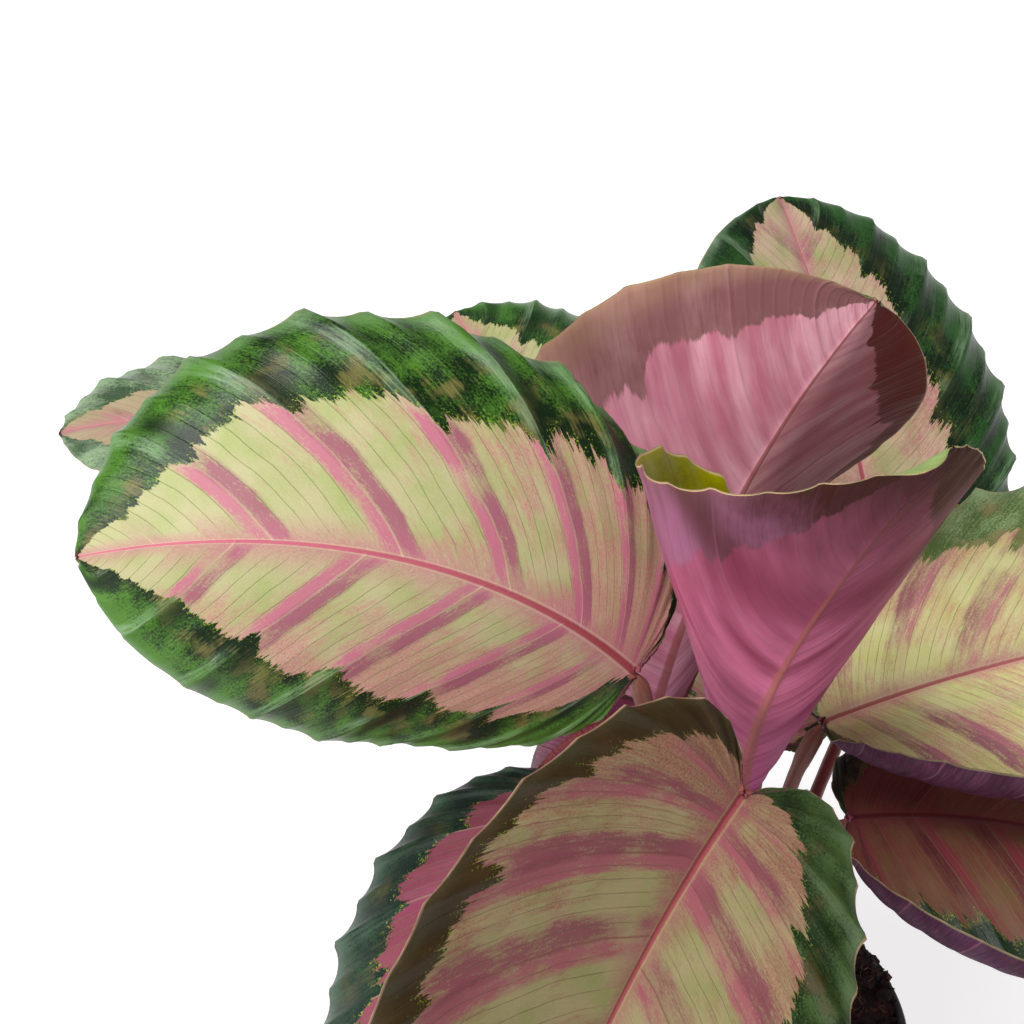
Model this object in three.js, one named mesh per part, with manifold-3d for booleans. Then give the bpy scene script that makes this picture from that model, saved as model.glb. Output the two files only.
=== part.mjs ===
// A potted rosy calathea: a nursery pot filled with soil, leaf stalks that rise
// from the crown, and a large patterned blade on each stalk.
// Millimetres, +Z up. The origin is the centre of the pot's flat underside.
// The plant is seen from the -Y side, so +X is to the viewer's right.
import * as THREE from 'three';
import { mergeVertices } from 'three/addons/utils/BufferGeometryUtils.js';
import Module from 'manifold-3d';

const wasm = await Module();
wasm.setup();

// Driving dimensions of the pot
const potHeight = 105;
const rimRadius = 60;
const collarHeight = 15;
const collarStep = 2.4;
const collarFootRadius = 55.6;
const footRadius = 43;
const wall = 1.6;
const lipExtra = 0.8;
const lipDepth = 2.2;
const floorThickness = 2;
const drainHoles = 6;
const drainRadius = 4;
const drainCircle = 33;
const potSides = 40;

// Driving dimensions of the soil
const soilEdgeHeight = 103.8;
const soilCrownHeight = 109;
const soilRings = 4;
const clodHeight = 1.1;
const gap = 0.35;

// Driving dimensions of every leaf
const bladeThickness = 0.8;
const veinCount = 9;
const scallop = 0.03;
const stalkSides = 8;
const stalkFootRadius = 3.3;
const stalkRadius = 2.1;
const kneeRadius = 2.7;
const kneeLength = 15;
const stalkStart = 98;
const stalkDepth = 22;

// Each leaf: where its blade starts and its stalk stands, how the midrib runs
// (heading round the pot and rise above level in degrees, at the base and their
// change or end value at the tip), how the blade rolls about it, and the shape.
// Pairs are the left and the right half as seen from the stalk, face up:
// fold at the midrib, curl across the half, curlTip added towards the tip,
// edge, the bend of the outermost strip, and slim, how much narrower the half is
// near the base. A blade with furl is wrapped round a cone in place of all that.
// stem is the stalk's lean where it leaves the soil, and join how far below the
// base of the midrib its knee ends.
const leaves = {
  left: {
    base: [-26, -16, 276], root: [-7, -8], stem: [-0.06, -0.03],
    heading: 187, turn: -3, rise: 54, riseEnd: -12, roll: -45, twist: 17,
    length: 165, width: 133, skew: -0.1,
    fold: [-23, -3], curl: [-26, -5], edge: [-31, -47],
  },
  left_back: {
    base: [-69, 79, 227], root: [-12, 13],
    heading: 164, turn: 24, rise: 52, riseEnd: -12, roll: 3, twist: 9,
    length: 136, width: 104,
    fold: [8, 4], curl: [-11, -15], edge: [-20, -22],
  },
  back_left: {
    base: [-36, 93, 230], root: [-3, 18],
    heading: 108, turn: 1, rise: -13, riseEnd: -8, roll: -21, twist: 4,
    length: 133, width: 95,
    fold: [8, 5], curl: [-10, -23], edge: [-20, -33],
  },
  upright_back: {
    base: [-18, 44, 195], root: [-3, 6], join: 0.4,
    heading: 41, turn: -20, rise: 76, riseEnd: 49, roll: 260, twist: 6,
    length: 151, width: 137, skew: -0.06, ovate: -0.05, lobe: 0.1,
    fold: [16, 11], curl: [62, 80], curlTip: [-82, -72], ripple: 1, columns: 14,
  },
  upright_front: {
    base: [5, -12, 224], root: [5, -3], join: 0.4,
    heading: 260, turn: 0, rise: 79, riseEnd: 79, roll: 0, twist: 0,
    length: 160, width: 150, skew: -0.13, ovate: 0.47, lobe: 0.05,
    fold: [0, 0], curl: [0, 0], slim: [0.5, 0.32], ripple: 0.7, columns: 18,
    furl: {
      open: 20, lean: 9.4, way: 59, start: -20, turn: 53, offset: 8.8,
      wrap: [0.95, 0.98], spiral: 0.16,
    },
  },
  back_right: {
    base: [54, 111, 184], root: [12, 13],
    heading: 103, turn: 11, rise: 52, riseEnd: 30, roll: 13, twist: 11,
    length: 126, width: 127,
    fold: [9, 7], curl: [-10, -15], edge: [-25, -26],
  },
  right: {
    base: [29, 12, 228], root: [15, 2],
    heading: 23, turn: -14, rise: 6, riseEnd: -5, roll: -10, twist: 30,
    length: 154, width: 130, skew: -0.03,
    fold: [6, 16], curl: [-6, -54], edge: [-16, 148], edgeFrom: 0.69, columns: 14,
  },
  right_low: {
    base: [36, -8, 210], root: [15, -9],
    heading: 4, turn: -35, rise: 3, riseEnd: -24, roll: -4, twist: 8,
    length: 145, width: 117, skew: -0.1,
    fold: [-1, 7], curl: [-3, -41], edge: [0, 148], edgeFrom: 0.72, columns: 14,
  },
  front: {
    base: [2, -46, 260], root: [4, -14], stem: [0, -0.25], join: 1.35,
    heading: 233, turn: 14, rise: -20, riseEnd: -45, roll: -36, twist: 0,
    length: 165, width: 137, skew: -0.04, ovate: -0.22, lobe: 0.44,
    fold: [9, 19], curl: [11, 9], edge: [-4, -9],
  },
  front_left: {
    base: [-35, -24, 234], root: [-16, -11], stem: [-0.12, -0.1],
    heading: 243, turn: -4, rise: -29, riseEnd: -66, roll: 7, twist: 7,
    length: 152, width: 126,
    fold: [8, 7], curl: [-10, -16], edge: [-20, -20],
  },
  inner_left: {
    base: [-20, -1, 245], root: [-17, 2], join: 1.35,
    heading: 189, turn: 12, rise: 10, riseEnd: -75, roll: 154, twist: -5,
    length: 47, width: 64, ovate: 0, lobe: 0.1,
    fold: [52, 52], curl: [20, 20], ripple: 0.8,
  },
  back_low: {
    base: [14, 56, 174], root: [6, 20],
    heading: 88, turn: 6, rise: 20, riseEnd: -34, roll: 0, twist: 4,
    length: 120, width: 76,
    fold: [8, 8], curl: [-8, -10], edge: [-22, -18],
  },
  right_back_low: {
    base: [52, 30, 178], root: [20, 9],
    heading: 24, turn: -10, rise: 14, riseEnd: -38, roll: 6, twist: 4,
    length: 130, width: 96,
    fold: [8, 8], curl: [-8, -10], edge: [-22, -18],
  },
};

const shapeDefaults = {
  stem: [0, 0], join: 1.1, skew: 0, ovate: 0.05, lobe: 0.2, tip: 0.05,
  curlTip: [0, 0], edge: [0, 0], edgeFrom: 0.68, slim: [0, 0],
  ripple: 2.2, columns: 10,
};

const radians = THREE.MathUtils.degToRad;

// The frame that travels along a midrib
const midribSteps = 60;

function midribFrames(leaf) {
  const frames = [];
  const place = new THREE.Vector3(...leaf.base);
  for (let i = 0; i <= midribSteps; i += 1) {
    const s = i / midribSteps;
    const heading = radians(leaf.heading + leaf.turn * s);
    const rise = radians(leaf.rise + (leaf.riseEnd - leaf.rise) * s);
    const roll = radians(leaf.roll + leaf.twist * s);
    const along = new THREE.Vector3(
      Math.cos(rise) * Math.cos(heading), Math.cos(rise) * Math.sin(heading), Math.sin(rise));
    const level = new THREE.Vector3(-Math.sin(heading), Math.cos(heading), 0);
    const upward = new THREE.Vector3().crossVectors(along, level);
    const side = level.clone().multiplyScalar(Math.cos(roll)).addScaledVector(upward, Math.sin(roll));
    const face = upward.clone().multiplyScalar(Math.cos(roll)).addScaledVector(level, -Math.sin(roll));
    if (i > 0) {
      const step = leaf.length / midribSteps / 2;
      place.addScaledVector(frames[i - 1].along, step).addScaledVector(along, step);
    }
    frames.push({ along, side, face, place: place.clone() });
  }
  return frames;
}

function frameAt(frames, s) {
  const k = THREE.MathUtils.clamp(s, 0, 1) * midribSteps;
  const i = Math.min(Math.floor(k), midribSteps - 1);
  const mix = (name) => frames[i][name].clone().lerp(frames[i + 1][name], k - i);
  return { along: mix('along'), side: mix('side'), face: mix('face'), place: mix('place') };
}

// A point of a furled blade
// The flat blade is wrapped round a narrow cone that opens upwards, upper face
// inwards. x runs along the flat midrib and y to its left; lifted is the height
// of the ripple. The cone's apex lies a little below the base of the midrib.
function furledPoint(leaf, x, y, lifted) {
  const { open, lean, way, start, turn, offset, wrap, spiral } = leaf.furl;
  const opening = radians(open);
  const axis = new THREE.Vector3(
    Math.sin(radians(lean)) * Math.cos(radians(way)),
    Math.sin(radians(lean)) * Math.sin(radians(way)),
    Math.cos(radians(lean)));
  const front = new THREE.Vector3(0, -1, 0);
  front.addScaledVector(axis, -front.dot(axis)).normalize();
  const right = new THREE.Vector3().crossVectors(axis, front);
  const onCone = (flatX, flatY) => {
    const reach = Math.hypot(flatX + offset, flatY);
    const swing = Math.atan2(flatY, flatX + offset);
    const share = y >= 0 ? wrap[0] : wrap[1];
    const round = radians(start + turn * reach / (leaf.length + offset)) + swing / Math.sin(opening) * share;
    const out = front.clone().multiplyScalar(Math.cos(round)).addScaledVector(right, Math.sin(round));
    const place = axis.clone().multiplyScalar(reach * Math.cos(opening))
      .addScaledVector(out, reach * Math.sin(opening) * (1 + spiral * swing / Math.PI));
    return { place, out };
  };
  const { place, out } = onCone(x, y);
  return place.sub(onCone(0, 0).place).add(new THREE.Vector3(...leaf.base))
    .addScaledVector(out, -lifted * Math.cos(opening)).addScaledVector(axis, lifted * Math.sin(opening));
}

// A point of a blade
// q counts the side veins, 0 at the base and 1 at the tip, and v runs from -1 on
// the right margin over 0 on the midrib to 1 on the left margin. A vein leaves
// the midrib low down and sweeps forward to its place on the oval margin. The
// half is bent across by its fold, its curl and the edge bend, and the margin
// ripples, with a crest and a small cusp where each main vein meets it.
function bladePoint(leaf, frames, q, v, rippled = true) {
  const half = v >= 0 ? 0 : 1;
  const w = Math.abs(v);
  const share = half === 0 ? 1 + leaf.skew : 1 - leaf.skew;
  const wave = Math.abs(2 * ((veinCount * q) % 1) - 1);
  const m = (1 - Math.cos(Math.PI * q)) / 2;
  const swell = Math.sin(Math.PI * q);
  const marginX = leaf.length * (m - leaf.lobe * swell * (1 - q) ** 3);
  const pointed = 1 - Math.exp(-(1 - q) / leaf.tip);
  const oval = share * swell * (1 + leaf.ovate * Math.cos(Math.PI * q)) * pointed;
  const marginY = leaf.width / 2 * oval * (1 - leaf.slim[half] * Math.exp(-((q / 0.35) ** 2)));
  const veinX = leaf.length * m * (0.16 + 0.84 * m);
  const x = veinX + (marginX - veinX) * w ** 1.4;
  const y = marginY * w * (rippled ? 1 + scallop * (wave - 0.5) * w ** 4 : 1);
  const s = x / leaf.length;
  const fold = radians(leaf.fold[half]);
  const sc = THREE.MathUtils.clamp(s, 0, 1);
  const curl = radians(leaf.curl[half] + leaf.curlTip[half] * sc);
  const ends = THREE.MathUtils.smoothstep(q, 0, 0.14) * THREE.MathUtils.smoothstep(1 - q, 0, 0.1);
  const edge = radians(leaf.edge[half]) * ends;
  const halfWidth = leaf.width / 2 * share;
  const steps = 14;
  let across = 0;
  let lifted = 0;
  for (let k = 0; k < steps && !leaf.furl; k += 1) {
    const t = (k + 0.5) / steps;
    const outer = THREE.MathUtils.clamp((w * t - leaf.edgeFrom) / (1 - leaf.edgeFrom), 0, 1);
    const angle = fold + curl * y * t / halfWidth + edge * outer;
    across += Math.cos(angle) * y / steps;
    lifted += Math.sin(angle) * y / steps;
  }
  if (rippled) {
    lifted += leaf.ripple * (wave ** 1.6 - 0.4) * w ** 1.5 * Math.sqrt(Math.max(swell, 0));
  }
  if (leaf.furl) {
    return furledPoint(leaf, x, half === 0 ? y : -y, lifted);
  }
  const f = frameAt(frames, s);
  return f.place.clone()
    .addScaledVector(f.along, (s - sc) * leaf.length)
    .addScaledVector(f.side, half === 0 ? across : -across)
    .addScaledVector(f.face, lifted);
}

// A blade as one closed solid
// Upper and lower skin share one grid, split into triangles alike, so that they
// stay the blade's thickness apart. The grid closes to a point at both ends.
function bladeGeometry(leaf) {
  const frames = midribFrames(leaf);
  const columns = leaf.columns;
  const rowsAt = leaf.furl ? [0.012, 0.032] : [];
  for (let i = 1; i < 2 * veinCount; i += 1) {
    rowsAt.push(i / (2 * veinCount));
  }
  const rows = rowsAt.length + 1;
  const positions = [];
  const index = [];
  const grid = [];
  const widthStep = (j) => {
    const t = 2 * j / columns - 1;
    return Math.sign(t) * Math.abs(t) * (1.25 - 0.25 * Math.abs(t));
  };
  const addPair = (q, v) => {
    const middle = bladePoint(leaf, frames, q, v);
    const h = 0.004;
    const inside = THREE.MathUtils.clamp(q, 0.01, 0.99);
    const qLow = inside - h;
    const qHigh = inside + h;
    const vLow = Math.max(v - h, -1);
    const vHigh = Math.min(v + h, 1);
    const dq = bladePoint(leaf, frames, qHigh, v, false).sub(bladePoint(leaf, frames, qLow, v, false));
    const dv = bladePoint(leaf, frames, inside, vHigh, false).sub(bladePoint(leaf, frames, inside, vLow, false));
    const normal = dq.cross(dv).normalize();
    const pair = [positions.length / 3, positions.length / 3 + 1];
    const up = middle.clone().addScaledVector(normal, bladeThickness / 2);
    const down = middle.clone().addScaledVector(normal, -bladeThickness / 2);
    positions.push(up.x, up.y, up.z, down.x, down.y, down.z);
    return pair;
  };
  const first = addPair(0, 0);
  rowsAt.forEach((q) => {
    grid.push(Array.from({ length: columns + 1 }, (_, j) => addPair(q, widthStep(j))));
  });
  const last = addPair(1, 0);
  const bothSkins = (a, b, c) => {
    index.push(a[0], b[0], c[0]);
    index.push(a[1], c[1], b[1]);
  };
  const rim = (a, b) => {
    index.push(a[0], a[1], b[1]);
    index.push(a[0], b[1], b[0]);
  };
  for (let j = 0; j < columns; j += 1) {
    bothSkins(first, grid[0][j], grid[0][j + 1]);
    bothSkins(last, grid[rows - 2][j + 1], grid[rows - 2][j]);
    for (let i = 0; i < rows - 2; i += 1) {
      const [a, b] = [grid[i][j], grid[i + 1][j]];
      const [c, d] = [grid[i + 1][j + 1], grid[i][j + 1]];
      if (j < columns / 2) {
        bothSkins(a, b, c);
        bothSkins(a, c, d);
      } else {
        bothSkins(a, b, d);
        bothSkins(b, c, d);
      }
    }
  }
  const right = [first, ...grid.map((row) => row[0]), last];
  const left = [first, ...grid.map((row) => row[columns]), last];
  for (let i = 0; i < right.length - 1; i += 1) {
    rim(right[i], right[i + 1]);
    rim(left[i + 1], left[i]);
  }
  const geometry = new THREE.BufferGeometry();
  geometry.setAttribute('position', new THREE.Float32BufferAttribute(positions, 3));
  geometry.setIndex(index);
  return geometry;
}

// A leaf stalk
// It stands in the soil with a swollen sheath, thins upwards, and swells again
// in the smooth knee under the blade, where it bends towards the midrib.
function stalkCurve(leaf) {
  const rise = radians(leaf.rise);
  const heading = radians(leaf.heading);
  const along = new THREE.Vector3(
    Math.cos(rise) * Math.cos(heading), Math.cos(rise) * Math.sin(heading), Math.sin(rise));
  const arrive = along.multiplyScalar(0.4).add(new THREE.Vector3(0, 0, 0.6)).normalize();
  const up = new THREE.Vector3(leaf.stem[0], leaf.stem[1], 1).normalize();
  const root = new THREE.Vector3(leaf.root[0], leaf.root[1], stalkStart);
  const end = new THREE.Vector3(...leaf.base).addScaledVector(arrive, -leaf.join);
  const reach = root.distanceTo(end);
  const foot = root.clone().setZ(stalkStart - stalkDepth);
  const path = new THREE.CurvePath();
  path.add(new THREE.LineCurve3(foot, root));
  path.add(new THREE.CubicBezierCurve3(
    root, root.clone().addScaledVector(up, reach * 0.45),
    end.clone().addScaledVector(arrive, -reach * 0.25), end));
  return path;
}

function stalkRadiusAt(distance, total) {
  const below = Math.max(stalkDepth + 26 - distance, 0) / 26;
  const sheath = (stalkFootRadius - stalkRadius) * Math.min(below, 1);
  const toEnd = total - distance;
  const knee = (kneeRadius - stalkRadius) * Math.exp(-(((toEnd - kneeLength / 2) / (kneeLength / 2)) ** 4));
  const taper = THREE.MathUtils.smoothstep(toEnd, -3, 5);
  return (stalkRadius + sheath + knee) * taper;
}

// A round bar of the given radii, spun on its own axis and then bent along the curve.
function stalkGeometry(leaf, extra = 0) {
  const curve = stalkCurve(leaf);
  const total = curve.getLength();
  const steps = 13;
  const places = [];
  for (let i = 0; i <= steps; i += 1) {
    const t = i / steps;
    places.push(Math.min(t ** 0.92 * 0.965 + 0.035 * t ** 6, 1));
  }
  const profile = [new THREE.Vector2(0, 0)];
  places.forEach((t, i) => {
    profile.push(new THREE.Vector2(stalkRadiusAt(t * total, total) + extra, i));
  });
  profile.push(new THREE.Vector2(0, steps));
  const bar = new THREE.LatheGeometry(profile, stalkSides);
  const at = bar.attributes.position;
  const reference = new THREE.Vector3(0.31, 0.95, 0.05).normalize();
  for (let k = 0; k < at.count; k += 1) {
    const t = places[Math.round(at.getY(k))];
    const centre = curve.getPointAt(t);
    const along = curve.getTangentAt(t);
    const side = new THREE.Vector3().crossVectors(reference, along).normalize();
    const front = new THREE.Vector3().crossVectors(side, along);
    if (extra > 0 && Math.round(at.getY(k)) === 0) {
      centre.addScaledVector(along, -extra);
    }
    centre.addScaledVector(side, at.getX(k)).addScaledVector(front, at.getZ(k));
    at.setXYZ(k, centre.x, centre.y, centre.z);
  }
  return closed(bar);
}

function closed(geometry) {
  geometry.deleteAttribute('normal');
  geometry.deleteAttribute('uv');
  return mergeVertices(geometry, 1e-4);
}

// Joining and cutting
function toSolid(geometry) {
  const merged = closed(geometry.clone());
  return new wasm.Manifold(new wasm.Mesh({
    numProp: 3,
    vertProperties: new Float32Array(merged.attributes.position.array),
    triVerts: new Uint32Array(merged.index.array),
  }));
}

function fromSolid(solid) {
  const mesh = solid.getMesh();
  const geometry = new THREE.BufferGeometry();
  geometry.setAttribute('position', new THREE.Float32BufferAttribute(mesh.vertProperties, 3));
  geometry.setIndex(Array.from(mesh.triVerts));
  return geometry;
}

// The pot
// A thin-walled taper with a flat underside, a stepped collar under the rim and a
// lip a little thicker than the wall.
function potRadius(z) {
  const top = potHeight - collarHeight;
  return footRadius + (collarFootRadius - footRadius) * z / top;
}

function potGeometry() {
  const collarFoot = potHeight - collarHeight;
  const profile = [
    [0, 0],
    [footRadius - 1.5, 0],
    [footRadius, 1.5],
    [potRadius(collarFoot), collarFoot],
    [collarFootRadius + collarStep, collarFoot + 0.8],
    [rimRadius - 0.6, potHeight - lipDepth],
    [rimRadius, potHeight - 1.4],
    [rimRadius - 0.2, potHeight - 0.2],
    [rimRadius - 0.9, potHeight],
    [rimRadius - wall - 0.4, potHeight - 0.4],
    [rimRadius - wall - lipExtra, potHeight - lipDepth],
    [collarFootRadius + collarStep - wall, collarFoot + 0.8 - wall / 2],
    [potRadius(collarFoot) - wall, collarFoot - 1.6],
    [footRadius - wall, floorThickness],
    [0, floorThickness],
  ];
  const shell = new THREE.LatheGeometry(profile.map(([r, z]) => new THREE.Vector2(r, z)), potSides);
  shell.rotateX(Math.PI / 2);
  let solid = toSolid(shell);
  for (let i = 0; i < drainHoles; i += 1) {
    const angle = 2 * Math.PI * (i + 0.5) / drainHoles;
    const hole = new THREE.CylinderGeometry(drainRadius, drainRadius, 12, 16);
    hole.rotateX(Math.PI / 2);
    hole.translate(drainCircle * Math.cos(angle), drainCircle * Math.sin(angle), 1);
    solid = solid.subtract(toSolid(hole));
  }
  return fromSolid(solid);
}

// The soil
// It fills the pot to just under the rim and is heaped a little towards the
// crown, with a crumbly top and a plain hole for each stalk.
function soilGeometry() {
  const collarFoot = potHeight - collarHeight;
  const inner = collarFootRadius + collarStep - wall - 0.3;
  const edgeRadius = rimRadius - wall - lipExtra - gap;
  const profile = [
    [0, floorThickness + gap],
    [footRadius - wall - gap, floorThickness + gap],
    [potRadius(collarFoot) - wall - gap, collarFoot - 1.6],
    [inner - gap, collarFoot + 0.8 - wall / 2 + 0.6],
    [edgeRadius, potHeight - lipDepth],
    [edgeRadius - 0.2, soilEdgeHeight],
  ];
  for (let i = soilRings - 1; i >= 1; i -= 1) {
    const t = i / soilRings;
    profile.push([(edgeRadius - 0.5) * t, soilEdgeHeight + (soilCrownHeight - soilEdgeHeight) * (1 - t * t)]);
  }
  profile.push([0, soilCrownHeight]);
  const heap = new THREE.LatheGeometry(profile.map(([r, z]) => new THREE.Vector2(r, z)), potSides);
  heap.rotateX(Math.PI / 2);
  const merged = closed(heap);
  const at = merged.attributes.position;
  for (let k = 0; k < at.count; k += 1) {
    const [x, y, z] = [at.getX(k), at.getY(k), at.getZ(k)];
    const r = Math.hypot(x, y);
    if (z > soilEdgeHeight - 0.5 && r < edgeRadius - 2) {
      const clod = Math.sin(0.43 * x + 1.3 * Math.sin(0.31 * y)) * Math.cos(0.39 * y - 0.9 * Math.sin(0.37 * x));
      at.setZ(k, z + clodHeight * clod);
    }
  }
  let solid = toSolid(merged);
  Object.values(leaves).forEach((leaf) => {
    solid = solid.subtract(toSolid(stalkGeometry({ ...shapeDefaults, ...leaf }, gap)));
  });
  return fromSolid(solid);
}

// Colours as seen
const faceUp = { color: 0x8f9a66, roughness: 0.38, metalness: 0 };
const faceDown = { color: 0xa85b74, roughness: 0.5, metalness: 0 };
const stalkLook = { color: 0x5a3327, roughness: 0.55, metalness: 0 };
const turnedOver = ['upright_back', 'upright_front', 'inner_left'];

const plant = new THREE.Group();
plant.name = 'potted_rosy_calathea';

function addMesh(name, geometry, look) {
  geometry.computeVertexNormals();
  const mesh = new THREE.Mesh(geometry, new THREE.MeshStandardMaterial(look));
  mesh.name = name;
  plant.add(mesh);
}

addMesh('pot', potGeometry(), { color: 0x3c4440, roughness: 0.5, metalness: 0 });
addMesh('soil', soilGeometry(), { color: 0x1c1210, roughness: 0.95, metalness: 0 });
Object.entries(leaves).forEach(([name, settings]) => {
  const leaf = { ...shapeDefaults, ...settings };
  addMesh(`blade_${name}`, bladeGeometry(leaf), turnedOver.includes(name) ? faceDown : faceUp);
  addMesh(`stalk_${name}`, stalkGeometry(leaf), stalkLook);
});

export default plant;
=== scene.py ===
"""A potted rosy calathea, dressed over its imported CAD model.

Lengths in the tables are millimetres, as in the CAD source; meshes are metres.
Each leaf blade, each stalk, the soil and the pot stands for the CAD node of the
same name and keeps its form, with finer relief, veins, hairs and colours.
"""

import math
from types import SimpleNamespace

import bpy
import numpy as np
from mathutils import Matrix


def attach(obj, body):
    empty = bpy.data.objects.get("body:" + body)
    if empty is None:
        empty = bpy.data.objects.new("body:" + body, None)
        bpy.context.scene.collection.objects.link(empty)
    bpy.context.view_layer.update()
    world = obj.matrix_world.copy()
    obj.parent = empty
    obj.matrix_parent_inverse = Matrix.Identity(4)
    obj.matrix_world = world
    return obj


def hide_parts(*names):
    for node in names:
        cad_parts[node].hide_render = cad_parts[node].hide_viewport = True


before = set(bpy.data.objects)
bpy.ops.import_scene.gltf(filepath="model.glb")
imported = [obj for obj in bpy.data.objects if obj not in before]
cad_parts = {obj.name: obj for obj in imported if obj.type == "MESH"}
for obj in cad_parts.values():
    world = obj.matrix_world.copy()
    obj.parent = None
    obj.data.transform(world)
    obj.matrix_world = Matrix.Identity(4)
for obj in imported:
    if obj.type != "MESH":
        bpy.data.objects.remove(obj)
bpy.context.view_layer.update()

MM = 0.001
VEINS = 9
STRIPS = 54
STATIONS = 61
BEND_STEPS = 14
LEAF_SHIFT = 31.0
SMALL_LEAF, SMALL_GRID, GRID = 60, (72, 48), (162, 76)
HALF_THICK, MARGIN_THIN, RIM_REACH = 0.25, 0.1, 0.2
LEAF_BUMP, FINE_BUMP, UNDERSIDE_GLOSS = 0.0003, 0.0001, 0.12
STALK_FOOT, STALK_SUNK, STALK_RADIUS = 98.0, 22.0, 2.1
SOIL_EDGE, SOIL_CROWN, SOIL_RADIUS, SOIL_SEED = 103.8, 109.0, 57.1, 70
RIM_RADIUS, RIM_TOP = 57, 104.9
HEAP = dict(x=48.5, y=25, high=9, wide=4)
HAIRS = 340
CRUMBS = 1100
FIBRES = 70
FLOOR_REACH, FLOOR_LINES = 9000, 25
LAMP_AIM, LAMP_SIZE = (0, 0, 0.2), 1.2
CAMERA_PLACE, CAMERA_TILT = (-0.0591, -0.7886, 1.0555), 47
FOCAL_PIXELS, PHOTO_PIXELS, SENSOR = 4080, 1024, 36

# The leaves: names, poses and outlines are those of the CAD source; ripple, scallop, pleat,
# phase and the flap are the scene's own
LEAVES = {
    "left": dict(
        base=(-26, -16, 276), root=(-7, -8), stem=(-0.06, -0.03), heading=187, turn=-3, rise=54,
        rise_end=-12, roll=-45, twist=17, length=165, width=133, skew=-0.1, fold=(-23, -3),
        curl=(-26, -5), edge=(-31, -47), phase=(0.75, 0.47), ripple=4.2, scallop=0.055),
    "left_back": dict(
        base=(-69, 79, 227), root=(-12, 13), heading=164, turn=24, rise=52, rise_end=-12, roll=3, twist=9,
        length=136, width=104, fold=(8, 4), curl=(-11, -15), edge=(-20, -22)),
    "back_left": dict(
        base=(-36, 93, 230), root=(-3, 18), heading=108, turn=1, rise=-13, rise_end=-8, roll=-21, twist=4,
        length=133, width=95, fold=(8, 5), curl=(-10, -23), edge=(-20, -33)),
    "upright_back": dict(
        base=(-18, 44, 195), root=(-3, 6), join=0.4, heading=41, turn=-20, rise=76, rise_end=49, roll=260,
        twist=6, length=151, width=137, skew=-0.06, ovate=-0.05, lobe=0.1, fold=(16, 11), curl=(62, 80),
        curl_tip=(-82, -72), ripple=0.9, scallop=0.014, pleat=1.4),
    "upright_front": dict(
        base=(5, -12, 224), root=(5, -3), join=0.4, heading=260, rise=79, length=160, width=150,
        skew=-0.13, ovate=0.47, lobe=0.05, slim=(0.5, 0.32), ripple=1.8, scallop=0.03, pleat=1.0,
        furl=SimpleNamespace(
            open=20, lean=9.4, way=59, start=-20, turn=53, offset=8.8, wrap=(0.95, 0.98), spiral=0.16,
            flap_at=0.94, flap_spread=0.035, flap_from=0.45, flap_turn=2.7)),
    "back_right": dict(
        base=(54, 111, 184), root=(12, 13), heading=103, turn=11, rise=52, rise_end=30, roll=13, twist=11,
        length=126, width=127, fold=(9, 7), curl=(-10, -15), edge=(-25, -26)),
    "right": dict(
        base=(29, 12, 228), root=(15, 2), heading=23, turn=-14, rise=6, rise_end=-5, roll=-10, twist=30,
        length=154, width=130, skew=-0.03, fold=(6, 16), curl=(-6, -54), edge=(-16, 148), edge_from=0.69,
        phase=(0.45, 0.45)),
    "right_low": dict(
        base=(36, -8, 210), root=(15, -9), heading=4, turn=-35, rise=3, rise_end=-24, roll=-4, twist=8,
        length=145, width=117, skew=-0.1, fold=(-1, 7), curl=(-3, -41), edge=(0, 148), edge_from=0.72),
    "front": dict(
        base=(2, -46, 260), root=(4, -14), stem=(0, -0.25), join=1.35, heading=233, turn=14, rise=-20,
        rise_end=-45, roll=-36, twist=0, length=165, width=137, skew=-0.04, ovate=-0.22, lobe=0.44,
        fold=(9, 19), curl=(11, 9), edge=(-4, -9), phase=(0.7, 0.4), ripple=4.6, scallop=0.05),
    "front_left": dict(
        base=(-35, -24, 234), root=(-16, -11), stem=(-0.12, -0.1), heading=243, turn=-4, rise=-29,
        rise_end=-66, roll=7, twist=7, length=152, width=126, fold=(8, 7), curl=(-10, -16),
        edge=(-20, -20)),
    "inner_left": dict(
        base=(-20, -1, 245), root=(-17, 2), join=1.35, heading=189, turn=12, rise=10, rise_end=-75,
        roll=154, twist=-5, length=47, width=64, ovate=0, lobe=0.1, fold=(52, 52), curl=(20, 20),
        ripple=0.8),
    "back_low": dict(
        base=(14, 56, 174), root=(6, 20), heading=88, turn=6, rise=20, rise_end=-34, roll=0, twist=4,
        length=120, width=76, fold=(8, 8), curl=(-8, -10), edge=(-22, -18)),
    "right_back_low": dict(
        base=(52, 30, 178), root=(20, 9), heading=24, turn=-10, rise=14, rise_end=-38, roll=6, twist=4,
        length=130, width=96, fold=(8, 8), curl=(-8, -10), edge=(-22, -18)),
}
USUAL = dict(
    stem=(0, 0), join=1.1, skew=0, ovate=0.05, lobe=0.2, tip=0.05,
    fold=(0, 0), curl=(0, 0), curl_tip=(0, 0), edge=(0, 0), edge_from=0.68,
    slim=(0, 0), ripple=3.0, scallop=0.042, pleat=0.3, phase=(0.3, 0.3), furl=None)


def smoothstep(t, low, high):
    """0 below low, 1 above high, and 3t^2 - 2t^3 between them."""
    t = np.clip((t - low) / (high - low), 0, 1)
    return t * t * (3 - 2 * t)


def unit(vectors):
    """Vectors divided by their own length."""
    return vectors / np.maximum(np.linalg.norm(vectors, axis=-1, keepdims=True), 1e-12)


def direction(heading, rise):
    """Unit vectors from headings, counted from +X towards +Y, and from rises above the level."""
    return np.stack([np.cos(rise) * np.cos(heading), np.cos(rise) * np.sin(heading), np.sin(rise)], -1)


def swung(first, second, angle):
    """The first direction swung towards the second by an angle."""
    return first * np.cos(angle) + second * np.sin(angle)


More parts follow.
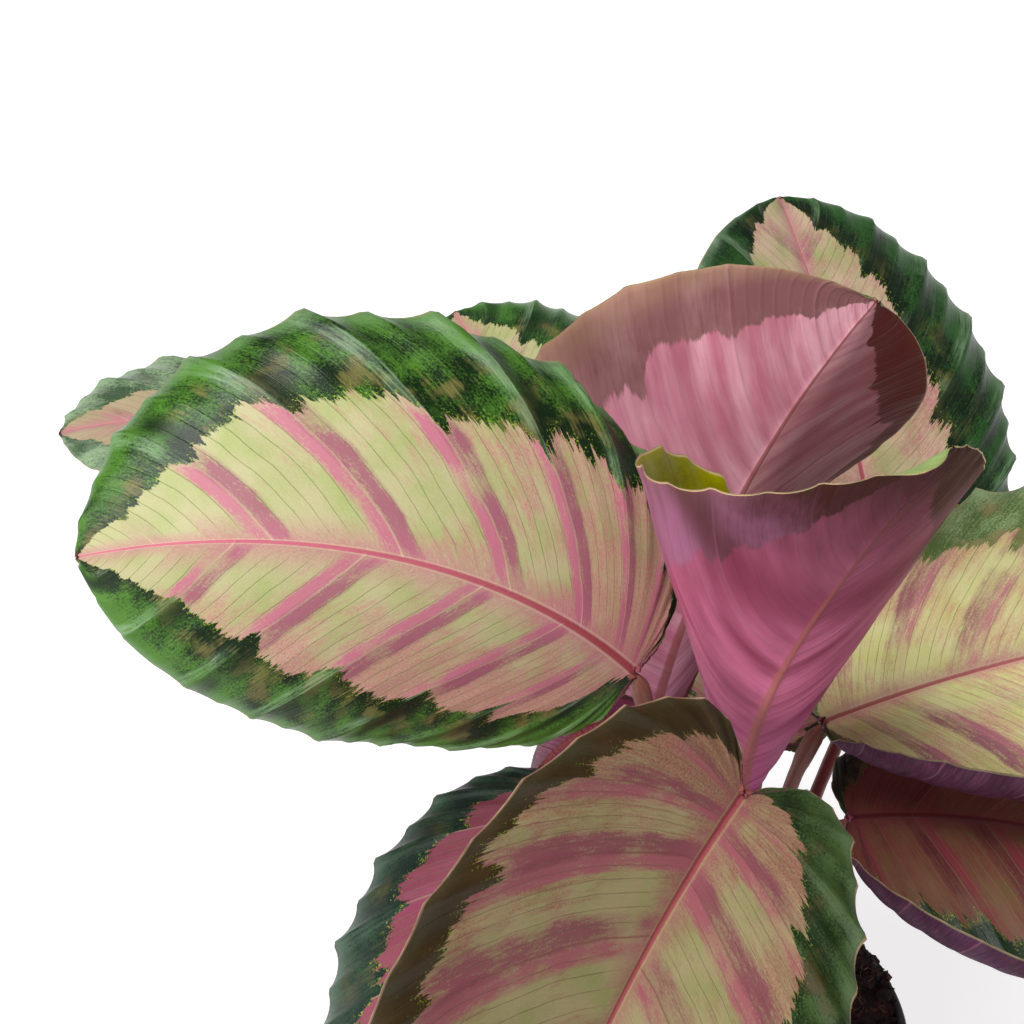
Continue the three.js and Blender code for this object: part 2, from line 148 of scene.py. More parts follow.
def bell(off, width):
    """1 at 0 and falling on both sides as exp(-(off / width)^2)."""
    return np.exp(-((off / width) ** 2))


def crest(count):
    """1 at whole numbers, 0 halfway between them, and straight in between."""
    return abs(2 * (count % 1) - 1)


def read_off(track, stations, at):
    """Vectors read off a track of them, linearly between its stations."""
    return np.stack([np.interp(at, stations, part) for part in track.T], -1)


def scatter(knot, seed):
    """A random number from -1 to 1 for each triple of whole numbers, always the same."""
    mixed = knot[..., 0] * 73856093 ^ knot[..., 1] * 19349663 ^ knot[..., 2] * 83492791 ^ seed * 2654435
    mixed = (mixed ^ (mixed >> 13)) * 1274126177
    mixed = (mixed ^ (mixed >> 16)) & 0xFFFF
    return mixed / 32767.5 - 1


def lumpy(place, cell, seed):
    """Smooth noise from -1 to 1: random values on a cubic lattice, eased between its corners."""
    at = place / cell
    low = np.floor(at).astype(np.int64)
    part = smoothstep(at - low, 0, 1)
    total = 0
    for corner in np.ndindex(2, 2, 2):
        share = np.prod(np.where(corner, part, 1 - part), axis=-1)
        total = total + share * scatter(low + np.array(corner), seed)
    return total


def turns(ring):
    """The angles of a closed ring of points, as one row."""
    return (np.arange(ring) * 2 * np.pi / ring)[None]


def turned(profile, ring):
    """Rings of points round the upright axis, one for each radius and height of a profile."""
    radius, height = np.hsplit(np.array(profile, float), 2)
    turn = turns(ring)
    return np.stack([radius * np.cos(turn), radius * np.sin(turn), height + 0 * turn], -1)


def capped(first, rings, last):
    """One list of points: rings of them between a first and a last single point."""
    return np.concatenate([[first], rings.reshape(-1, 3), [last]])


def shell(rows, ring, bodies=1, order=1):
    """Faces of a closed skin: rows of closed rings between a first and a last single point.

    The skins of more bodies follow one another, and order -1 turns the faces over."""
    i = np.arange(rows - 1)[:, None]
    j = np.arange(ring)[None]
    after = (j + 1) % ring
    at = lambda row, column: 1 + row * ring + column
    quads = np.stack([at(i, j), at(i + 1, j), at(i + 1, after), at(i, after)], -1).reshape(-1, 4)
    j, after = j[0], after[0]
    first = np.stack([0 * j, at(0, j), at(0, after)], -1)
    last = np.stack([at(rows - 1, j), 0 * j + 1 + rows * ring, at(rows - 1, after)], -1)
    lift = np.arange(bodies)[:, None, None] * (rows * ring + 2)
    return [(lift + face[:, ::order]).reshape(-1, face.shape[1]) for face in (quads, first, last)]


def add_object(name, data):
    """A new object in the scene that shows the data."""
    made = bpy.data.objects.new(name, data)
    bpy.context.scene.collection.objects.link(made)
    return made


def mesh_object(name, points, faces):
    """An object in metres from points in millimetres and groups of faces."""
    mesh = bpy.data.meshes.new(name)
    corners = np.concatenate([f.ravel() for f in faces])
    sizes = np.concatenate([np.full(len(f), f.shape[1]) for f in faces])
    starts = np.cumsum(sizes) - sizes
    mesh.vertices.add(len(points))
    mesh.vertices.foreach_set("co", (points * MM).astype(np.float32).ravel())
    mesh.loops.add(len(corners))
    mesh.polygons.add(len(sizes))
    mesh.polygons.foreach_set("loop_start", starts.astype(np.int32))
    mesh.polygons.foreach_set("vertices", corners.astype(np.int32))
    mesh.update(calc_edges=True)
    mesh.shade_smooth()
    return add_object(name, mesh)


def make_piece(name, points, faces, node, materials, readings=None, finish=None):
    """A piece of the plant; finish gives each face's material, and node may be None."""
    piece = mesh_object(name, points, faces)
    mesh = piece.data
    for material in materials:
        mesh.materials.append(material)
    if finish is not None:
        mesh.polygons.foreach_set("material_index", finish.astype(np.int32))
    for key, values in (readings or {}).items():
        layer = mesh.attributes.new(key, "FLOAT_VECTOR", "POINT")
        layer.data.foreach_set("vector", values.astype(np.float32).ravel())
    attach(piece, "root")
    if node:
        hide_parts(node)
    return piece


# The blades

def midrib_frames(leaf):
    """Stations of the midrib: share, place, and the directions along it, to its left and up."""
    s = np.linspace(0, 1, STATIONS)
    heading = np.radians(leaf.heading + leaf.turn * s)
    rise = np.radians(leaf.rise + (leaf.rise_end - leaf.rise) * s)
    roll = np.radians(leaf.roll + leaf.twist * s)[:, None]
    along = direction(heading, rise)
    level = np.stack([-np.sin(heading), np.cos(heading), 0 * heading], -1)
    upward = np.cross(along, level)
    steps = (along[1:] + along[:-1]) * leaf.length / (2 * (STATIONS - 1))
    place = np.array(leaf.base) + np.vstack([[0, 0, 0], np.cumsum(steps, 0)])
    return s, place, along, swung(level, upward, roll), swung(upward, -level, roll)


def pick(pair, left):
    """The first of a pair on a blade's left half, the second on its right half."""
    return np.where(left, pair[0], pair[1])


def vein_way(leaf, q, v):
    """Which vein passes through a point, a share of the leaf: the veins lean forward over one
    interval, and each half starts its count a phase later."""
    return q + (1 - abs(v) - pick(leaf.phase, v >= 0)) / VEINS


def flat_blade(leaf, q, v):
    """Where a point lies on the flat blade, x along the midrib and y out to its side.

    A grid line leaves the midrib at L m (0.16 + 0.84 m), with m = (1 - cos pi q) / 2, and
    sweeps forward as |v|^1.4 to the oval margin. The wave is 1 at a main vein and half as
    high between two, and the margin has a cusp at each."""
    left, w, length = v >= 0, abs(v), leaf.length
    count = VEINS * vein_way(leaf, q, v)
    wave = 0.55 * crest(count) ** 3 + 0.45 * crest(2 * count) ** 2.5
    m = (1 - np.cos(np.pi * q)) / 2
    swell = np.sin(np.pi * q)
    share = 1 + leaf.skew * np.where(left, 1, -1)
    margin_x = length * (m - leaf.lobe * swell * (1 - q) ** 3)
    margin_y = leaf.width / 2 * share * swell * (1 + leaf.ovate * np.cos(np.pi * q))
    margin_y = margin_y * (1 - np.exp(-(1 - q) / leaf.tip))
    margin_y = margin_y * (1 - pick(leaf.slim, left) * bell(q, 0.35))
    vein_x = length * m * (0.16 + 0.84 * m)
    x = vein_x + (margin_x - vein_x) * w ** 1.4
    y = margin_y * w * (1 + leaf.scallop * (wave - 0.3) * w ** 5)
    return x, y, w, wave, swell, share, left


def margin_flap(furl, q, w, y, left):
    """A lappet of the right margin near the tip that curls outwards as an arc: beyond its
    start the distance e across becomes e sin(a) / a, and e (1 - cos a) / a goes outwards."""
    start = furl.flap_from
    angle = furl.flap_turn * bell(q - furl.flap_at, furl.flap_spread) * ~left
    angle = angle * np.clip((w - start) / (1 - start), 0, 1)
    beyond = y * np.clip(1 - start / np.maximum(w, start), 0, 1)
    across = y - beyond + beyond * np.sinc(angle / np.pi)
    return across, beyond * np.sin(angle / 2) * np.sinc(angle / 2 / np.pi)


def furled_sheet(leaf, x, y, lifted):
    """The flat blade wrapped round a narrow cone that opens upwards, upper face inwards."""
    furl = leaf.furl
    lean, way, opening = np.radians([furl.lean, furl.way, furl.open])
    axis = direction(way, np.pi / 2 - lean)
    front = np.array([0, -1, 0])
    front = unit(front - axis * (front @ axis))
    right = np.cross(axis, front)

    def on_cone(x, y):
        reach = np.hypot(x + furl.offset, y)
        swing = np.arctan2(y, x + furl.offset)
        angle = np.radians(furl.start + furl.turn * reach / (leaf.length + furl.offset))
        angle = (angle + swing / np.sin(opening) * pick(furl.wrap, y >= 0))[..., None]
        out = swung(front, right, angle)
        far = (reach * np.sin(opening) * (1 + furl.spiral * swing / np.pi))[..., None]
        return axis * (reach * np.cos(opening))[..., None] + out * far, out

    place, out = on_cone(x, y)
    start, _ = on_cone(np.zeros(1), np.zeros(1))
    inwards = axis * np.sin(opening) - out * np.cos(opening)
    return place - start[0] + np.array(leaf.base) + inwards * lifted[..., None]


def blade_sheet(leaf, q, v):
    """The middle of a blade: its flat outline bent across by fold, curl and edge, then laid
    along the curved midrib, with a ripple that crests at each main vein."""
    x, y, w, wave, swell, share, left = flat_blade(leaf, q, v)
    length = leaf.length
    lifted = leaf.ripple * (wave - 0.35) * w ** 2.4 * np.sqrt(np.maximum(swell, 0))
    if leaf.furl:
        y, back = margin_flap(leaf.furl, q, w, y, left)
        return furled_sheet(leaf, x, np.where(left, y, -y), lifted - back)
    s = x / length
    sc = np.clip(s, 0, 1)
    fold = np.radians(pick(leaf.fold, left))
    curl = np.radians(pick(leaf.curl, left) + pick(leaf.curl_tip, left) * sc)
    edge = np.radians(pick(leaf.edge, left)) * smoothstep(q, 0, 0.14) * smoothstep(1 - q, 0, 0.1)
    across = 0
    for t in (np.arange(BEND_STEPS) + 0.5) / BEND_STEPS:
        outer = np.clip((w * t - leaf.edge_from) / (1 - leaf.edge_from), 0, 1)
        angle = fold + curl * y * t / (leaf.width / 2 * share) + edge * outer
        across = across + np.cos(angle) * y / BEND_STEPS
        lifted = lifted + np.sin(angle) * y / BEND_STEPS
    stations, *tracks = midrib_frames(leaf)
    place, along, side, face = (read_off(track, stations, sc) for track in tracks)
    across = across * np.where(left, 1, -1)
    place = place + along * ((s - sc) * length)[..., None]
    return place + side * across[..., None] + face * lifted[..., None]


def sheet_normals(points):
    """The upward direction of a grid of points, from its steps along and across."""
    return unit(np.cross(np.gradient(points, axis=0), np.gradient(points, axis=1)))


def blade_piece(name, leaf, number, materials):
    """A closed blade: an upper and a lower skin on one grid of veins, joined round the margin.

    The grid is dense at the midrib. The blade is 0.5 mm thick and thins to 0.3 at the
    margin, with a groove along the midrib above and a tapering rib beneath. The first half
    of each skin's quads are rolled on by a corner, so that both skins split along the veins."""
    rows, columns = SMALL_GRID if leaf.length < SMALL_LEAF else GRID
    q = (np.arange(1, rows) / rows)[:, None]
    t = np.linspace(-1, 1, columns + 1)[None]
    q, v = np.broadcast_arrays(q, np.sign(t) * abs(t) ** 1.45)
    w = abs(v)
    sheet = blade_sheet(leaf, q, v)
    normal = sheet_normals(sheet)
    x, y, *_ = flat_blade(leaf, q, v)
    shift = LEAF_SHIFT * number
    flat = np.stack([x, y * np.sign(v), 0 * x + shift], -1)
    count = VEINS * vein_way(leaf, q, v)
    relief = leaf.pleat * np.sin(np.pi * count) ** 2 * (w * (1 - w)) ** 0.7
    relief = relief + 0.9 * lumpy(flat, 26, number) * w
    relief = relief + 0.35 * lumpy(flat, 9, number + 50) * w ** 2
    sheet = sheet + normal * relief[..., None]
    normal = sheet_normals(sheet)
    taper = 1 - 0.75 * np.clip(x / leaf.length, 0, 1)
    thick = HALF_THICK - MARGIN_THIN * w ** 3
    groove = 0.28 * taper * bell(y, 1.2)
    rib = 1.5 * taper ** 1.5 * bell(y, 0.3 + 1.2 * taper)
    side_rib = 0.12 * bell(1 - crest(count), 0.07) * (1 - w) ** 0.5
    upper = sheet + normal * (thick - groove - side_rib)[..., None]
    lower = sheet - normal * (thick + rib + side_rib)[..., None]
    outward = unit(np.gradient(sheet, axis=1))
    rim_left = sheet[:, -1:] + outward[:, -1:] * RIM_REACH
    rim_right = sheet[:, :1] - outward[:, :1] * RIM_REACH
    rings = np.concatenate([upper, rim_left, lower[:, ::-1], rim_right], 1)
    base, tip = blade_sheet(leaf, np.array([0.0, 1.0]), np.zeros(2))

    def carried(grid, first, last):
        return capped(first, np.concatenate([grid, grid[:, -1:], grid[:, ::-1], grid[:, :1]], 1), last)

    way = np.stack([q, v, count / VEINS], -1)
    readings = {
        "leaf_way": carried(way, (0, 0, 1 / VEINS), (1, 0, 1 + 1 / VEINS)),
        "leaf_flat": carried(flat, (0, 0, shift), (leaf.length, 0, shift)),
    }
    points = capped(base, rings, tip)
    quads, *fans = shell(rows - 1, rings.shape[1])
    rolled = np.tile(np.arange(columns + 2) < columns // 2, 2 * (rows - 2))
    quads[rolled] = np.roll(quads[rolled], 1, axis=1)
    faces = [quads, *fans]
    finish = np.tile(np.repeat([0, 2, 1, 2], [columns, 2, columns, 2]), rows)
    return make_piece("leaf_" + name, points, faces, "blade_" + name, materials, readings, finish)


# The stalks

def stalk_track(leaf, count):
    """Points along a stalk: straight up from the soil, then one cubic curve to the blade."""
    arrive = unit(0.4 * direction(*np.radians([leaf.heading, leaf.rise])) + np.array([0, 0, 0.6]))
    up = unit(np.array([*leaf.stem, 1.0]))
    root = np.array([*leaf.root, STALK_FOOT])
    end = np.array(leaf.base) - arrive * leaf.join
    reach = np.linalg.norm(end - root)
    t = np.linspace(0, 1, 400)[:, None]
    hooks = root, root + up * reach * 0.45, end - arrive * reach * 0.25, end
    curve = sum(c * (1 - t) ** (3 - k) * t ** k * h for k, (c, h) in enumerate(zip((1, 3, 3, 1), hooks)))
    track = np.vstack([root - np.array([0, 0, STALK_SUNK]), curve])
    gone = np.concatenate([[0], np.cumsum(np.linalg.norm(np.diff(track, axis=0), axis=1))])
    share = np.linspace(0, 1, count)
    share = 0.75 * share + 0.25 * (1 - (1 - share) ** 3)
    walked = gone[-1] * share
    return read_off(track, gone, walked), walked, gone[-1]


def stalk_radius(walked, total):
    """2.1 mm, 3.3 in the sheath at the foot, 2.7 in the knee, and rounded off at the end."""
    sheath = 1.2 * np.clip((48 - walked) / 26, 0, 1)
    to_end = total - walked
    knee = 0.6 * np.exp(-(((to_end - 7.5) / 7.5) ** 4))
    return (STALK_RADIUS + sheath + knee) * smoothstep(to_end, -3, 5)


def stalk_skin_grid(leaf, number, rows, ring):
    """Places, directions outwards and readings on a stalk: rings round its track, a little
    fluted and knobbly."""
    centre, walked, total = stalk_track(leaf, rows)
    along = unit(np.gradient(centre, axis=0))
    side = unit(np.cross(unit(np.array([0.31, 0.95, 0.05])), along))
    front = np.cross(side, along)
    turn = turns(ring)
    out = swung(side[:, None], front[:, None], turn[..., None])
    radius = stalk_radius(walked, total)[:, None] * (1 + 0.015 * np.sin(5 * turn + walked[:, None] / 30))
    skin = centre[:, None] + out * radius[..., None]
    skin = skin + out * (0.09 * lumpy(skin, 5, number))[..., None]
    turn, walked = np.broadcast_arrays(turn, walked[:, None])
    return centre, skin, out, along, np.stack([walked, turn, walked / total], -1)


def stalk_piece(name, leaf, number, materials):
    """A tube round the stalk's track, closed at both ends."""
    rows, ring = 90, 26
    centre, skin, _, _, way = stalk_skin_grid(leaf, number, rows, ring)
    points = capped(centre[0], skin, centre[-1])
    readings = {"stalk_way": capped(way[0, 0], way, way[-1, 0])}
    faces = shell(rows, ring, order=-1)
    return make_piece("leafstalk_" + name, points, faces, "stalk_" + name, materials, readings)


def down_piece(leaves, materials):
    """Short hairs on all the stalks: slim three-sided spikes that lean upwards."""
    draw = np.random.default_rng(23)
    rows, ring, first, last = 160, 24, 22, 156
    roots, ways = [], []
    for number, leaf in enumerate(leaves):
        _, skin, out, along, _ = stalk_skin_grid(leaf, number, rows, ring)
        row, column = draw.integers(first, last, HAIRS), draw.integers(0, ring, HAIRS)
        lean = out[row, column] + along[row] * draw.uniform(0.2, 0.9, (HAIRS, 1))
        lean = lean + draw.normal(0, 0.25, (HAIRS, 3))
        roots.append(skin[row, column] - out[row, column] * 0.1)
        ways.append(unit(lean) * draw.uniform(0.5, 1.3, (HAIRS, 1)))
    root, way = np.concatenate(roots), np.concatenate(ways)
    side = unit(np.cross(way, draw.normal(size=way.shape))) * 0.05
    other = np.cross(unit(way), side)
    feet = [root + swung(side, other, turn) for turn in turns(3)[0]]
    points = np.stack([*feet, root + way], 1).reshape(-1, 3)
    spike = np.array([[0, 1, 3], [1, 2, 3], [2, 0, 3], [2, 1, 0]])
    faces = (np.arange(len(root))[:, None, None] * 4 + spike).reshape(-1, 3)
    return make_piece("stalk_down", points, [faces], None, materials)


# Paint: shader maths written as Python expressions

def maths_method(operation):
    """A method that adds a Math node for a reading and what comes after it, if anything."""
    return lambda reading, *others: reading.paint.maths(operation, reading, *others)


class Reading:
    """One number that varies over a surface. Operators on it add Math nodes."""

    def __init__(self, paint, socket):
        self.paint = paint
        self.socket = socket

    __add__ = __radd__ = maths_method("ADD")
    __sub__ = maths_method("SUBTRACT")
    __mul__ = __rmul__ = maths_method("MULTIPLY")
    __truediv__ = maths_method("DIVIDE")
    __pow__ = maths_method("POWER")
    __abs__ = maths_method("ABSOLUTE")
    above = maths_method("GREATER_THAN")
    floor = maths_method("FLOOR")

    def __rsub__(self, other):
        return self.paint.maths("SUBTRACT", other, self)

    def clamp(self):
        return self.paint.maths("ADD", self, 0.0, clamp=True)

    def ease(self, low, high):
        """0 up to low, 1 from high on, and smooth between them."""
        sockets = {"Value": self, "From Min": low, "From Max": high}
        made = self.paint.node("ShaderNodeMapRange", {"interpolation_type": "SMOOTHSTEP"}, sockets)
        return Reading(self.paint, made.outputs[0])

    def hump(self, centre, width):
        """1 at the centre, falling smoothly to 0 a width away."""
        off = (self - centre) / width
        rest = (1 - off * off).clamp()
        return rest * rest


class Paint:
    """A material's nodes and its Principled shader."""

    def __init__(self, name):
        self.material = bpy.data.materials.new(name)
        self.material.use_nodes = True
        self.tree = self.material.node_tree
        self.shader = self.tree.nodes["Principled BSDF"]

    def node(self, kind, settings, sockets):
        """Adds a node with its settings and fills its sockets."""
        made = self.tree.nodes.new(kind)
        for key, value in settings.items():
            setattr(made, key, value)
        self.fill(made.inputs, sockets)
        return made

    def fill(self, inputs, values):
        """Gives each named input a reading, another node's socket, or a plain value.

        Three numbers are a colour as seen on a screen, and four are one in linear light."""
        for key, value in values.items():
            if isinstance(value, tuple) and len(value) == 3:
                value = tint(*value)
            value = value.socket if isinstance(value, Reading) else value
            if isinstance(value, bpy.types.NodeSocket):
                self.tree.links.new(value, inputs[key])
            else:
                inputs[key].default_value = value

    def maths(self, operation, *values, clamp=False):
        settings = {"operation": operation, "use_clamp": clamp}
        return Reading(self, self.node("ShaderNodeMath", settings, dict(enumerate(values))).outputs[0])

    def parts(self, vector):
        """The three numbers of a vector socket."""
        made = self.node("ShaderNodeSeparateXYZ", {}, {0: vector})
        return [Reading(self, socket) for socket in made.outputs]

    def carried(self, name):
        """A vector that the mesh carries at its points."""
        return self.node("ShaderNodeAttribute", {"attribute_name": name}, {}).outputs["Vector"]

    def place(self):
        """Place on the object in millimetres."""
        where = self.node("ShaderNodeTexCoord", {}, {}).outputs["Object"]
        sockets = {0: where, "Scale": 1 / MM}
        return self.node("ShaderNodeVectorMath", {"operation": "SCALE"}, sockets).outputs[0]

    def join(self, x, y, z):
        return self.node("ShaderNodeCombineXYZ", {}, {0: x, 1: y, 2: z}).outputs[0]

    def noise(self, vector, scale, detail=2, roughness=0.5):
        sockets = {"Vector": vector, "Scale": scale, "Detail": detail, "Roughness": roughness}
        return Reading(self, self.node("ShaderNodeTexNoise", {}, sockets).outputs[0])

    def chance(self, number):
        """A random number from 0 to 1 for each value of a whole number."""
        made = self.node("ShaderNodeTexWhiteNoise", {"noise_dimensions": "1D"}, {"W": number})
        return Reading(self, made.outputs["Value"])

    def level(self, tenths, place):
        """The k-th of ten values, given in tenths, where place is k / 9."""
        made = self.node("ShaderNodeValToRGB", {}, {0: place})
        ramp = made.color_ramp.elements
        while len(ramp) < len(tenths):
            ramp.new(1)
        for k, (stop, value) in enumerate(zip(ramp, tenths)):
            stop.position = k / VEINS
            stop.color = (value / 10, value / 10, value / 10, 1)
        return Reading(self, made.outputs[0])

    def mix(self, first, second, factor):
        """From the first colour to the second as factor, which is clamped, goes from 0 to 1."""
        made = self.node("ShaderNodeMix", {"data_type": "RGBA"}, {0: factor, 6: first, 7: second})
        return made.outputs[2]

    def over(self, colour, *layers):
        """Lays further colours over a colour, each as far as its own factor says."""
        for upper, factor in layers:
            colour = self.mix(colour, upper, factor)
        return colour

    def finish(self, colour, roughness, height, depth, gloss=0.5):
        """Gives the shader its colour, roughness, gloss and a bump of a depth in metres."""
        bump = self.node("ShaderNodeBump", {}, {"Height": height, "Distance": depth})
        self.fill(self.shader.inputs, {
            "Base Color": colour, "Roughness": roughness, "Normal": bump.outputs[0],
            "Specular IOR Level": gloss})
        return self.material


def tint(red, green, blue):
    """A colour as seen on a screen, 0 to 255, as the linear colour of a shader."""
    seen = np.array([red, green, blue]) / 255
    linear = np.where(seen < 0.04045, seen / 12.92, ((seen + 0.055) / 1.055) ** 2.4)
    return (*linear.tolist(), 1.0)


def markings(paint, number, look):
    """What both faces of a leaf share: where its veins run and where its centre ends.

    q counts from base to tip, w is the share of the half's width and u names the vein. The
    centre ends at its own w between every two fine veins, with teeth along the veins and a
    notch beside each main vein; its reach eases from the base's to the middle's and tip's."""
    q, v, u = paint.parts(paint.carried("leaf_way"))
    x, y, _ = paint.parts(paint.carried("leaf_flat"))
    w = abs(v)
    left = v.above(0)
    flat = paint.join(x, y, LEAF_SHIFT * number)
    drift = paint.noise(flat, 0.05, 2) - 0.5
    teeth = paint.noise(paint.join(u * 150, w * 5, left * 7 + 3.0 * number), 1.0, 4, 0.7) - 0.5
    crossing = u * VEINS + 0.5 + drift * 0.08
    vein = crossing.floor()
    off = crossing - vein - 0.5
    strip = paint.chance((u * STRIPS).floor() + left * 61 + number * 7.0) - 0.5
    span = paint.chance((u * VEINS).floor() + left * 17 + number * 5.0) - 0.5
    base, middle, tip = (r + left * (l - r) for l, r in zip(*look.reach))
    reach = base + (middle - base) * q.ease(0.12, 0.42) + (tip - middle) * q.ease(0.66, 0.97)
    limit = reach + strip * look.jag + span * look.lobes + teeth * look.teeth + drift * 0.1
    limit = limit - off.hump(-0.04, 0.17) * look.notch
    on_left, on_right = (paint.level(tenths, vein / VEINS) for tenths in look.bands)
    fine = u * STRIPS + 0.5 + drift * 0.6
    return SimpleNamespace(
        q=q, w=w, u=u, x=x, y=abs(y), left=left, flat=flat, drift=drift, limit=limit,
        beyond=w - limit, off=off, fine=abs(fine - fine.floor() - 0.5),
        power=on_right + left * (on_left - on_right))


def stripe(off, centre, width):
    """1 at the centre of a band and 0 from a width away on."""
    far = (off - centre) / width
    return (1 - far * far).clamp()


def leaf_face(name, number, look):
    """The upper face: a green border with its own light and dark streaks, painted shade and
    painted highlight streaks beside the main veins and a lighter rim, a cream centre with a pink
    flush and fine green veins, and at each main vein two pink bands with a thin line between
    them, the one on the base side darker with painted shade."""
    paint = Paint(name)
    m = markings(paint, number, look)
    w, u, off, flat, beyond, power = m.w, m.u, m.off, m.flat, m.beyond, m.power
    blotch = paint.noise(flat, 0.09, 3)
    grain = paint.noise(paint.join(u * 480, w * 50, 3.0 * number), 1.0, 4, 0.75)
    mottle = paint.noise(paint.join(u * 160, w * 9, 5.0 * number), 1.0, 3, 0.6)
    streak = paint.noise(paint.join(u * 260, w * 6, 8.0 * number), 1.0, 4, 0.7)
    speck = paint.noise(flat, 1.5, 2, 0.6)

    flush = m.drift * 3 + (mottle - 0.5) * 2.6 + look.flush + (0.36 - m.q) * look.basal
    flush = flush + w.ease(0.35, 0.7) * 0.3 + m.left * look.left_flush * w.ease(0.1, 0.5)
    stipple = ((grain + speck - 0.55) * 1.5).clamp()
    fades = ((m.limit * (0.75 + 0.3 * power) - w) / 0.24 + 0.35).clamp()
    begins = (w / look.begin + 0.2).clamp()
    shown = power * fades * begins * ((mottle - 0.3) * 2.2 + (grain - 0.3) * 1.8 + (speck - 0.4) * 1.2)
    shown = shown * (1 + m.drift * 3.5)
    wide = (0.08 + 0.05 * w) * look.wide
    # Two pink bands at each main vein; the darker one on the base side is painted shade
    bright = stripe(off, 0.07 * look.wide, wide * 1.15) * shown * 1.3
    shaded_band = stripe(off, -0.085 * look.wide, wide * 1.3) * shown * 1.25
    near_rib = (1 - m.y / (2.0 + 7 * power)).clamp()
    thread = (1 - m.fine / 0.045).clamp() * (w / 0.12 - 0.2).clamp()
    line = (1 - abs(off) / 0.018).clamp()
    centre = paint.over(
        look.cream,
        (look.lime, (blotch - 0.4) * 3 + (grain - 0.5) * 1.6),
        (look.blush, (flush.clamp() * 0.85 + 0.15) * stipple),
        (look.band, bright.clamp() * 0.88),
        (look.dusk, shaded_band.clamp() * 0.88),
        (look.band, (near_rib * (grain * 2.8 - 0.6)).clamp() * 0.8),
        (look.thread, thread * (0.3 + blotch * 0.8)),
        (look.line, line * (1 - w * 0.6) * look.line_shown))

    leafy = (blotch - 0.5) * 3.4 + (grain - 0.5) * 2 + (streak - 0.5) * 1.6 + (speck - 0.5) * 2.4
    leafy = leafy + beyond * 2.2 - (0.4 - m.q).clamp() * (1 - m.left) * 1.4
    tarnish = beyond.hump(0.08, 0.2) * ((paint.noise(flat, 0.1, 2) - 0.5) * 8 + (streak - 0.5) * 4)
    # Painted shade on the base side of each main vein's pleat, painted highlight streaks on its tip side
    crease = stripe(off, -0.14, 0.2) * ((m.drift + 0.14) * 5).clamp()
    gleam = ((paint.noise(flat, 0.06, 2) - 0.42) * 5).clamp()
    broken = stripe(off, 0.07, 0.09) * (streak * 3 - 1.1).clamp()
    shine = stripe(off, 0.01, 0.015) * gleam * 0.4 + broken * gleam
    border = paint.over(
        look.deep,
        (look.leaf, leafy),
        (look.olive, (tarnish * look.tarnish).clamp() * (grain + 0.2).clamp()),
        (look.deep, crease * look.crease),
        (look.sheen, shine * look.crease),
        # A lighter rim along the margin, in the painted highlight colour
        (look.sheen, w.ease(0.9, 0.99) * 0.3),
        ((58, 38, 20), (1 - m.left) * look.far_shown),
        (look.speck, ((speck - 0.54 - beyond * 2.4) * 14).clamp() * 0.8))

    inside = (0.5 - beyond / 0.008).clamp()
    to_tip = m.x / look.length
    half_rib = 0.14 + 0.75 * (1 - to_tip).clamp()
    rib = (1.4 - m.y / half_rib).clamp()
    colour = paint.over(
        border,
        (centre, inside),
        (paint.mix(look.rib_tip, look.rib, 1.1 - to_tip * 1.3), (rib * 2).clamp() * 0.9),
        (look.pale, stripe(m.y, 1.7 * half_rib, 0.5 * half_rib) * 0.45),
        # Painted shade over the left half
        ((96, 84, 50), m.left * look.left_shade),
        # Near the tip, a plain green over the furled leaf's painted glow
        ((130, 150, 92), m.q.ease(0.84, 0.9) * look.tip_shown),
        (look.edge, w.ease(0.991, 0.996) * look.edge_shown))
    roughness = 0.3 + inside * 0.16 + (blotch - 0.5) * 0.16
    height = blotch * 0.12 - thread * 0.25 + grain * 0.35 + line * 0.3
    return paint.finish(colour, roughness, height, LEAF_BUMP, look.gloss)


